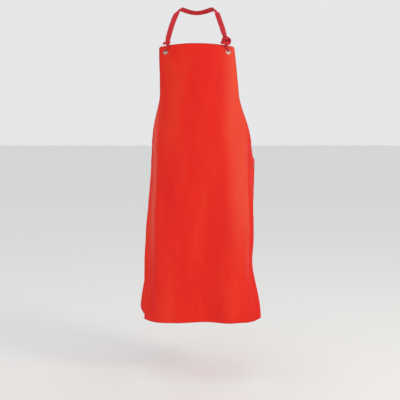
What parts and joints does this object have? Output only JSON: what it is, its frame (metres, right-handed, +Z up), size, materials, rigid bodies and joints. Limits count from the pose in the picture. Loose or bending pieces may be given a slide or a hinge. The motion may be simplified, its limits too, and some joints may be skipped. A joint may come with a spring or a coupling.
{
  "type": "butcher apron",
  "caption": "Long red bib apron of coated cloth, wrapped as worn, hung from a knotted cotton neck tape through metal eyelets.",
  "frame": {"origin": "the point where the neck tape lies on the wearer's nape", "axes": "+Z up, -Y the way the wearer faces, +X to the right of someone who faces the wearer"},
  "size_m": [0.5088, 0.3252, 1.3019],
  "materials": {
    "cloth": "red coated cloth, smooth, with a soft sheen",
    "patch_cloth": "the same coated cloth, welded on, stamped with a fine grid",
    "eyelet_metal": "pressed, bright",
    "washer_metal": "pressed, bright",
    "tape": "crimson woven cotton tape, creased"
  },
  "bodies": {
    "neck_halter": {"neck_tape": "tape", "left_knot": "tape", "right_knot": "tape"},
    "apron": {"apron_panel": "cloth", "bib_left_patch": "patch_cloth", "bib_right_patch": "patch_cloth", "waist_left_patch": "patch_cloth", "waist_right_patch": "patch_cloth", "bib_left_eyelet": "eyelet_metal", "bib_right_eyelet": "eyelet_metal", "waist_left_eyelet": "eyelet_metal", "waist_right_eyelet": "eyelet_metal", "bib_left_washer": "washer_metal", "bib_right_washer": "washer_metal", "waist_left_washer": "washer_metal", "waist_right_washer": "washer_metal", "left_tape_loop": "tape", "right_tape_loop": "tape"}
  },
  "joints": [
    {"name": "bib_swing", "type": "hinge", "parent": "neck_halter", "child": "apron", "pos_m": [0, -0.16, -0.146], "axis": [-1, 0, 0], "range_deg": [0, 75]}
  ]
}
